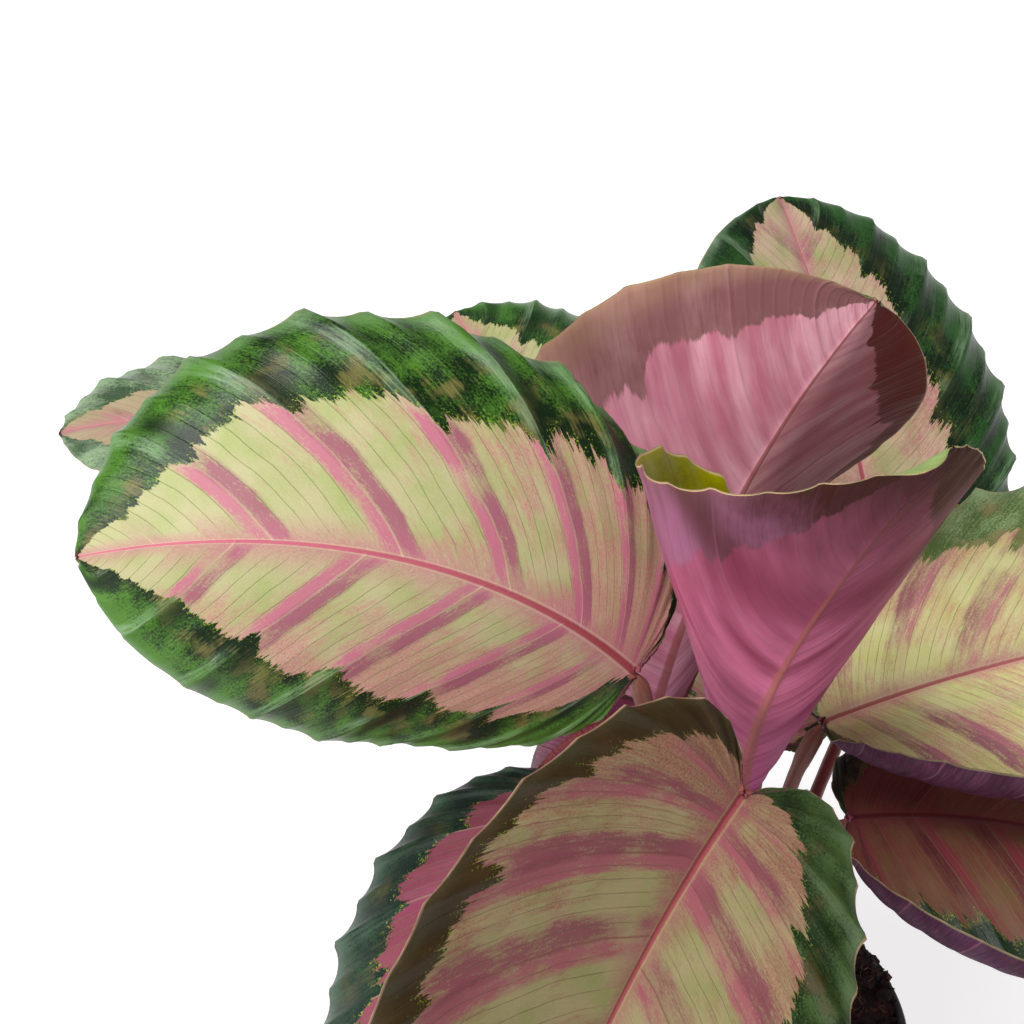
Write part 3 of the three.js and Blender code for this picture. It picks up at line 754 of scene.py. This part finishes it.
def leaf_underside(name, number, look):
    """The underside: mauve and matt, with a pink centre, painted shade along soft fold lines,
    darker fine veins, a brownish rib and a tan margin; on some leaves painted shade darkens
    one half and the tip."""
    paint = Paint(name)
    m = markings(paint, number, look)
    q, w, u, flat, off = m.q, m.w, m.u, m.flat, m.off
    blotch = paint.noise(flat, 0.07, 3)
    grain = paint.noise(paint.join(u * 330, w * 9, 5.0 * number), 1.0, 4, 0.65)
    broad = paint.noise(paint.join(u * 34, w * 2.2, 4.0 * number), 1.0, 2, 0.5)
    folds = paint.noise(paint.join(u * 20, w * 0.7, 9.0 * number), 1.0, 2, 0.6)
    # Painted shade along soft fold lines and along one deeper fold line
    fold_shade_mask = ((folds - 0.5) * 5).clamp()
    fold_line_shade = q.hump(look.fold_at, 0.045) * look.fold_shown
    centre = paint.over(
        look.under_pink,
        (look.under_rose, (broad - 0.4) * 3.2 + (blotch - 0.5)),
        (look.under_fold, fold_shade_mask * look.folds),
        (look.under_base, ((0.5 - q) * 2.4).clamp() * 0.7),
        (look.under_fold, fold_line_shade * 0.8))
    border = paint.over(
        look.under_dark,
        (look.under_dusk, (blotch - 0.4) * 1.6 + (grain - 0.45) + (look.sweep_to - q) * look.sweep),
        (look.under_dark, fold_shade_mask * 0.6),
        (look.under_dark, fold_line_shade),
        (look.under_tan, w.ease(0.8, 1.0) * look.tan))
    inside = (0.5 - m.beyond / 0.022).clamp()
    half_rib = 0.22 + 1.5 * (1 - m.x / look.length * 1.1).clamp()
    rib = (1.3 - m.y / half_rib).clamp()
    colour = paint.over(
        border,
        (centre, inside),
        (look.under_dark, (1 - m.fine / 0.1).clamp() * 0.12),
        ((146, 66, 104), ((grain - 0.5) * 3).clamp() * 0.3),
        ((190, 122, 142), (1 - abs(off) / 0.02).clamp() * 0.25),
        (look.under_rib, (rib * 2.2).clamp() * 0.8),
        # Painted shade over the left half and towards the tip
        (look.under_deep, m.left * w.ease(0.0, 0.3) * look.shade * (1 - inside * 0.35)),
        (look.under_deep, q.ease(0.52, 0.9) * look.shade_tip),
        (look.edge, w.ease(0.991, 0.996) * look.edge_shown))
    roughness = 0.5 + (blotch - 0.5) * 0.2
    height = (1 - m.fine / 0.2).clamp() * 0.4 + grain * 0.35 + (1 - abs(off) / 0.05).clamp() * 0.7
    return paint.finish(colour, roughness, height, LEAF_BUMP, UNDERSIDE_GLOSS)


def soft_look(name, scale, first, second, low, gain, roughness):
    """Two colours in soft patches; the second comes in from low on, by gain."""
    paint = Paint(name)
    soft = paint.noise(paint.place(), scale, 2)
    colour = paint.mix(first, second, (soft - low) * gain)
    return paint.finish(colour, roughness, soft, FINE_BUMP)


FEW_BANDS = (6, 4, 3, 2, 3, 1.5, 1, 3, 5, 4)
PALE_LEAF = dict(
    flush=0.4, basal=1.6, left_flush=0, blush=(186, 114, 120), cream=(178, 178, 130),
    lime=(154, 172, 100), thread=(104, 118, 62), reach=((0.5, 0.68, 0.4), (0.7, 0.64, 0.35)), jag=0.055,
    lobes=0.08, teeth=0.2, notch=0.07,
    bands=((4, 9, 3, 8, 10, 4, 9, 6, 3, 2), (5, 4, 10, 5, 9, 8, 3, 8, 4, 2)), wide=1, begin=0.07,
    band=(184, 102, 126), dusk=(152, 82, 104), line=(206, 184, 150), line_shown=0.5, deep=(14, 42, 12),
    leaf=(60, 108, 34), olive=(116, 108, 60), tarnish=1.2, sheen=(132, 158, 124), crease=0.7,
    speck=(150, 172, 40), far_shown=0, rib=(150, 56, 62), rib_tip=(200, 100, 124), pale=(206, 178, 150),
    left_shade=0, tip_shown=0, edge=(138, 134, 96), edge_shown=0.5, gloss=0.28,
    under_pink=(200, 122, 150), under_rose=(170, 84, 122), under_fold=(140, 60, 96), folds=0.3,
    fold_at=0.5, fold_shown=0, under_base=(196, 96, 160), under_dark=(84, 44, 50),
    under_dusk=(132, 84, 90), sweep=0, sweep_to=0.68, under_tan=(126, 100, 62), tan=0.5,
    under_rib=(142, 76, 70), under_deep=(52, 22, 20), shade=0, shade_tip=0)
LOOKS = {
    "left": dict(
        flush=0.6, basal=2.8, left_flush=0.8, reach=((0.14, 0.65, 0.24), (0.7, 0.625, 0.24)),
        bands=((2, 3, 7, 9, 10, 10, 10, 9, 2, 1), (3, 6, 10, 10, 10, 10, 10, 9, 2, 1)), deep=(10, 32, 6),
        leaf=(72, 118, 36), crease=0.9),
    "left_back": dict(
        cream=(176, 162, 128), lime=(160, 150, 112), reach=((0.5, 0.66, 0.5), (0.5, 0.6, 0.38)),
        deep=(56, 80, 52), leaf=(138, 162, 126), tarnish=0.4),
    "back_left": dict(reach=((0.5, 0.6, 0.2), (0.6, 0.5, 0.2))),
    "upright_back": dict(
        reach=((0.75, 0.84, 0.3), (0.74, 0.76, 0.3)), jag=0.04, lobes=0.14, teeth=0.12, notch=0.08,
        edge=(176, 140, 100), under_pink=(230, 168, 182), under_rose=(204, 122, 146),
        under_fold=(166, 76, 100), folds=0.7, under_base=(220, 130, 182), under_dark=(136, 90, 92),
        under_dusk=(186, 144, 142), sweep=1.6, under_tan=(182, 148, 112), tan=0.45, under_deep=(80, 0, 8),
        shade=0.88),
    # Its upper face shows only inside the furled cone, painted yellow as a glow of light shining through
    # the leaf
    "upright_front": dict(
        cream=(158, 154, 6), lime=(150, 144, 2), reach=((0.72, 0.6, 0.3), (0.7, 0.6, 0.56)), jag=0.05,
        lobes=0.07, teeth=0.12, notch=0.03, deep=(120, 116, 1), leaf=(158, 154, 2), olive=(130, 124, 2),
        sheen=(156, 152, 4), crease=0.2, speck=(150, 142, 2), tip_shown=0.9, edge=(206, 176, 130),
        edge_shown=1, gloss=0.1, under_pink=(188, 100, 132), under_rose=(160, 80, 108),
        under_fold=(128, 48, 72), folds=0.9, fold_at=0.665, fold_shown=0.8, under_base=(196, 92, 160),
        under_dark=(82, 40, 40), under_dusk=(168, 106, 138), sweep=9, sweep_to=0.77, tan=0.2,
        under_rib=(158, 92, 84), under_deep=(48, 8, 2), shade=0.3, shade_tip=0.95),
    "back_right": dict(
        flush=0.7, cream=(206, 184, 152), reach=((0.6, 0.68, 0.6), (0.45, 0.52, 0.3)),
        bands=(FEW_BANDS, FEW_BANDS), line_shown=0.2, deep=(10, 30, 12), leaf=(44, 84, 36), tarnish=0.4,
        crease=0.8),
    "right": dict(
        basal=0.3, blush=(206, 128, 128), cream=(218, 222, 156), lime=(204, 214, 126),
        reach=((0.25, 0.72, 0.5), (0.4, 0.84, 0.5)),
        bands=((2, 4, 3, 5, 8, 8, 7, 5, 3, 2), (2, 3, 4, 8, 9, 4, 8, 6, 4, 2)), wide=1.25, begin=0.45,
        line_shown=0.2, deep=(58, 96, 46), leaf=(142, 172, 118), olive=(140, 124, 84), crease=0.4,
        left_shade=0.32, under_dark=(62, 32, 48), under_dusk=(96, 56, 84), tan=0),
    # Darker throughout: partly the leaf's own red-brown, partly painted shade under the right leaf
    "right_low": dict(
        blush=(118, 46, 52), cream=(122, 86, 62), lime=(106, 86, 48),
        bands=(FEW_BANDS, (5, 4, 10, 5, 9, 8, 3, 8, 4, 2)), wide=1.5, band=(132, 52, 64),
        dusk=(96, 40, 46), line_shown=0.1, leaf=(40, 54, 26), crease=0.3, rib=(96, 34, 36),
        rib_tip=(120, 48, 54), pale=(110, 72, 56), under_dark=(60, 32, 50), under_dusk=(92, 56, 84),
        tan=0),
    "front": dict(
        flush=0.35, basal=3.2, blush=(128, 66, 66), cream=(146, 136, 98), lime=(126, 132, 80),
        thread=(104, 80, 62), reach=((0.5, 0.7, 0.4), (0.7, 0.84, 0.4)),
        bands=((2, 3, 5, 8, 9, 5, 3, 6, 4, 2), (3, 3, 5, 8, 10, 9, 3, 6, 4, 2)), wide=1.5,
        band=(142, 74, 86), dusk=(118, 60, 72), line=(112, 66, 60), line_shown=0.7, deep=(18, 36, 10),
        leaf=(58, 78, 38), olive=(70, 56, 30), sheen=(96, 110, 84), crease=0.25, speck=(110, 130, 30),
        far_shown=0.75, rib=(132, 54, 60), rib_tip=(140, 70, 72), pale=(150, 138, 88),
        edge=(170, 128, 112), gloss=0.16),
    "front_left": dict(
        flush=0.9, blush=(132, 60, 78), cream=(142, 74, 88), lime=(132, 74, 80),
        reach=((0.5, 0.68, 0.4), (0.6, 0.73, 0.4)), band=(138, 54, 84), deep=(20, 40, 30),
        leaf=(42, 72, 46), tarnish=0.3, sheen=(110, 136, 118), crease=0.25, edge=(96, 62, 48)),
    "inner_left": dict(under_pink=(154, 68, 108), under_rose=(126, 48, 82)),
}


def stalk_skin():
    """Reddish brown, paler towards the knee, streaked lengthwise."""
    paint = Paint("stalk_skin")
    walked, turn, share = paint.parts(paint.carried("stalk_way"))
    streak = paint.noise(paint.join(walked / 26, turn * 3.2, 1.0), 1.0, 3, 0.6)
    patch = paint.noise(paint.place(), 0.12, 3)
    colour = paint.over(
        (72, 34, 22),
        ((128, 74, 52), (streak - 0.4) * 3),
        ((150, 92, 80), (share * 1.4 - 0.45).clamp() * 0.5),
        ((104, 100, 56), ((0.34 - share) * 2.4).clamp() * patch))
    return paint.finish(colour, 0.5 + (patch - 0.5) * 0.3, streak + patch * 0.5, 0.0002)


# The soil

def soil_height(x, y):
    """A heap from the edge to the crown as 1 - r^2 with a small clod near the right rim,
    broken up by noise from 14 to 1.5 mm."""
    r = np.hypot(x, y) / SOIL_RADIUS
    place = np.stack([x, y, 0 * x], -1)
    layers = ((14, 1.1), (6, 1.0), (3, 0.8), (1.5, 0.5))
    rough = sum(size * lumpy(place, cell, SOIL_SEED + k) for k, (cell, size) in enumerate(layers))
    clod = HEAP["high"] * bell(np.hypot(x - HEAP["x"], y - HEAP["y"]), HEAP["wide"] * 2 ** 0.5)
    return SOIL_EDGE + (SOIL_CROWN - SOIL_EDGE) * (1 - r ** 2) + rough + clod * (1 - r ** 40)


def peat_piece(materials):
    """The soil as a closed turned body whose top is broken into crumbs."""
    ring = 300
    side = turned([(30, 2.4), (40.9, 2.4), (41.4, 2.6), (53.6, 88.4), (55.7, 90.6), (57.2, 102.8)], ring)
    top_r = SOIL_RADIUS * np.linspace(1, 0, 110)[:-1][:, None] ** 0.8
    x, y = top_r * np.cos(turns(ring)), top_r * np.sin(turns(ring))
    skin = np.concatenate([side, np.stack([x, y, soil_height(x, y)], -1)])
    points = capped((0, 0, 2.4), skin, (0, 0, soil_height(np.zeros(1), np.zeros(1))[0]))
    return make_piece("peat", points, shell(len(skin), ring, order=-1), "soil", materials)


def soil_spots(draw, count, reach):
    """Random places on the soil, a share of them gathered round the clod at the right."""
    far = reach * np.sqrt(draw.uniform(0, 1, count))
    turn = draw.uniform(0, 2 * np.pi, count)
    x, y = far * np.cos(turn), far * np.sin(turn)
    near = draw.uniform(0, 1, count) < 0.2
    x = np.where(near, HEAP["x"] + draw.normal(0, 3.6, count), x)
    y = np.where(near, HEAP["y"] + draw.normal(0, 4.2, count), y)
    far = np.hypot(x, y)
    held = np.minimum(far, reach) / np.maximum(far, 1e-6)
    return x * held, y * held


def crumbs_piece(materials):
    """Loose crumbs: small lumps, each a ball of 3 rings whose points are moved at random."""
    draw = np.random.default_rng(5)
    rows, ring = 3, 6
    size = 0.5 + 1.5 * draw.uniform(0, 1, CRUMBS) ** 3
    x, y = soil_spots(draw, CRUMBS, 59)
    ground = np.where(np.hypot(x, y) < RIM_RADIUS, soil_height(x, y), RIM_TOP)
    middle = np.stack([x, y, ground + size * 0.35], -1)
    tilt = np.linspace(0, np.pi, rows + 2)[1:-1]
    ball = capped((0, 0, 1), turned(np.stack([np.sin(tilt), np.cos(tilt)], -1), ring), (0, 0, -1))
    knobs = ball * (1 + draw.normal(0, 0.2, (CRUMBS, len(ball), 1)))
    knobs = knobs * draw.uniform(0.6, 1.4, (CRUMBS, 1, 3)) * size[:, None, None]
    points = (middle[:, None] + knobs).reshape(-1, 3)
    return make_piece("peat_crumbs", points, shell(rows, ring, CRUMBS), None, materials)


def fibres_piece(materials):
    """Thin root and peat fibres: three-sided tubes along curling lines that lie on the soil."""
    draw = np.random.default_rng(11)
    knots = 12
    x, y = soil_spots(draw, FIBRES, 56)
    step = draw.uniform(0.4, 1.1, (FIBRES, 1))
    heading = draw.uniform(0, 2 * np.pi, (FIBRES, 1)) + np.cumsum(draw.normal(0, 0.45, (FIBRES, knots)), 1)
    x = x[:, None] + np.cumsum(np.cos(heading) * step, 1)
    y = y[:, None] + np.cumsum(np.sin(heading) * step, 1)
    rise = np.sin(np.linspace(0.1, np.pi - 0.1, knots)) * draw.uniform(0.2, 3.0, (FIBRES, 1))
    line = np.stack([x, y, soil_height(np.clip(x, -40, 54), y) + rise], -1)
    along = unit(np.gradient(line, axis=1))
    side = unit(np.cross(along, [0.2, 0.3, 0.93]))
    other = np.cross(along, side)
    girth = 0.13 * (1 - 0.5 * np.linspace(0, 1, knots))[:, None, None]
    skin = line[:, :, None] + swung(side[:, :, None], other[:, :, None], turns(3).T) * girth
    points = np.concatenate([line[:, :1], skin.reshape(FIBRES, -1, 3), line[:, -1:]], 1)
    faces = shell(knots, 3, FIBRES, -1)
    return make_piece("peat_fibres", points.reshape(-1, 3), faces, None, materials)


def peat_look():
    """Very dark damp peat with brown crumbs."""
    paint = Paint("damp_peat")
    place = paint.place()
    crumb = paint.noise(place, 0.8, 4, 0.7)
    patch = paint.noise(place, 0.15, 2)
    brown = (crumb * 0.7 + patch * 0.5 - 0.66) * 8
    colour = paint.over((14, 8, 6), ((46, 28, 20), (crumb - 0.42) * 4), ((104, 70, 48), brown))
    return paint.finish(colour, 0.85 + (crumb - 0.5) * 0.2, crumb, 0.0012)


# The pot

def drain_holes():
    """Six upright cylinders, 8 mm across, on a circle of 66 mm, to cut the pot's floor with."""
    holes, ring, radius, far, low, high = 6, 40, 4, 33, -1, 3
    rod = capped((0, 0, low), turned([(radius, low), (radius, high)], ring), (0, 0, high))
    places = far * direction(np.radians(30 + 60 * np.arange(holes)), np.zeros(holes))
    return mesh_object("drain_holes", (places[:, None] + rod).reshape(-1, 3), shell(2, ring, holes, -1))


def cut_away(piece, cutter):
    """Takes the cutter's solid out of the piece and removes the cutter."""
    cut = piece.modifiers.new("cut", "BOOLEAN")
    cut.operation, cut.solver, cut.object = "DIFFERENCE", "EXACT", cutter
    ready = piece.evaluated_get(bpy.context.evaluated_depsgraph_get())
    mesh = bpy.data.meshes.new_from_object(ready)
    piece.modifiers.clear()
    piece.data = mesh
    bpy.data.objects.remove(cutter)


def pot_piece(materials):
    """A turned shell: taper, stepped collar, rounded lip, inner wall and pierced floor."""
    profile = (
        (30, 0), (40.6, 0), (41.5, 0.1), (42.4, 0.6), (42.9, 1.3), (43.1, 2.2), (55.5, 89.6),
        (55.9, 90.2), (57.4, 90.5), (58, 90.9), (58.2, 91.6), (59.35, 102.6), (59.8, 103.2),
        (60, 103.8), (59.95, 104.4), (59.6, 104.85), (59.1, 105), (58.5, 104.85), (58.0, 104.4),
        (57.6, 102.8), (56.5, 90.6), (55.9, 89.9), (54.2, 88.9), (53.9, 88.2), (41.6, 2.6), (41.2, 2.1),
        (40.4, 2), (30, 2))
    ring = 180
    points = capped((0, 0, 0), turned(profile, ring), (0, 0, 2))
    faces = shell(len(profile), ring, order=-1)
    pot = make_piece("nursery_pot", points, faces, "pot", materials)
    cut_away(pot, drain_holes())
    return pot


def pot_look():
    """Dark grey-green moulded plastic, satin, with faint scuffs and dust."""
    paint = Paint("pot_plastic")
    place = paint.place()
    x, y, z = paint.parts(place)
    scuff = paint.noise(paint.join(x * 0.5, y * 0.5, z * 0.12), 1.0, 4, 0.65)
    dust = paint.noise(place, 0.06, 3)
    dusty = ((dust - 0.55) * 3 + (z - 92) / 60).clamp() * 0.3
    colour = paint.over((50, 58, 54), ((66, 76, 70), (scuff - 0.4) * 2.5), ((104, 98, 84), dusty))
    return paint.finish(colour, 0.42 + (scuff - 0.5) * 0.3, scuff, FINE_BUMP)


# The setting

def floor_piece():
    """A plain white floor that ends beyond every view."""
    lines = np.linspace(-FLOOR_REACH, FLOOR_REACH, FLOOR_LINES)
    u, v = np.meshgrid(lines, lines)
    points = np.stack([u, v, 0 * u], -1).reshape(-1, 3)
    cells = np.arange(FLOOR_LINES - 1)
    corner = (cells[:, None] * FLOOR_LINES + cells).reshape(-1, 1)
    quads = corner + np.array([0, 1, FLOOR_LINES + 1, FLOOR_LINES])
    floor = mesh_object("studio_floor", points, [quads])
    paint = Paint("studio_white")
    paint.fill(paint.shader.inputs, {
        "Base Color": (0.45, 0.45, 0.45, 1), "Roughness": 0.9, "Specular IOR Level": 0.1,
        "Emission Color": (1, 1, 1, 1), "Emission Strength": 0.72})
    floor.data.materials.append(paint.material)


def lamp(name, place, power):
    """A square soft light that faces the middle of the plant."""
    light = bpy.data.lights.new(name, "AREA")
    light.shape = "SQUARE"
    light.size = LAMP_SIZE
    light.energy = power
    made = add_object(name, light)
    made.location = place
    x, y, z = np.array(place) - np.array(LAMP_AIM)
    made.rotation_euler = (math.atan2(math.hypot(x, y), z), 0, math.atan2(x, -y))


def setting():
    """Even white surroundings, a large soft key from the upper left and a weak fill."""
    world = bpy.data.worlds.new("studio")
    world.use_nodes = True
    background = world.node_tree.nodes["Background"].inputs
    background["Color"].default_value = (1, 1, 1, 1)
    background["Strength"].default_value = 0.24
    scene = bpy.context.scene
    scene.world = world
    scene.view_settings.view_transform = "Standard"
    lamp("key", (-0.45, -0.1, 2.0), 37)
    lamp("fill", (-1.0, -1.5, 0.9), 20)
    floor_piece()


def camera():
    """The photograph's view: 43 degrees down along +Y, a long lens, the pot to the right."""
    view = bpy.data.cameras.new("camera")
    view.sensor_width = SENSOR
    view.lens = SENSOR * FOCAL_PIXELS / PHOTO_PIXELS
    view.clip_end = 20
    eye = add_object("camera", view)
    eye.location = CAMERA_PLACE
    eye.rotation_euler = (math.radians(CAMERA_TILT), 0, 0)
    bpy.context.scene.camera = eye


camera()
setting()
margin = soft_look("leaf_margin", 0.2, (150, 126, 92), (96, 84, 54), 0.4, 3, 0.45)
skin = stalk_skin()
leaves = {name: SimpleNamespace(**USUAL | given) for name, given in LEAVES.items()}
down = soft_look("stalk_down", 0.3, (150, 112, 96), (190, 160, 140), 0, 1, 0.6)
down_piece(leaves.values(), [down])
for number, (name, leaf) in enumerate(leaves.items()):
    look = SimpleNamespace(**PALE_LEAF | LOOKS.get(name, {}), length=leaf.length)
    face = leaf_face("face_" + name, number, look)
    underside = leaf_underside("underside_" + name, number, look)
    blade_piece(name, leaf, number, [face, underside, margin])
    stalk_piece(name, leaf, number, [skin])
peat = peat_look()
peat_piece([peat])
crumbs_piece([peat])
fibres_piece([soft_look("peat_fibre", 0.4, (84, 58, 40), (168, 136, 104), 0.35, 3, 0.75)])
pot_piece([pot_look()])
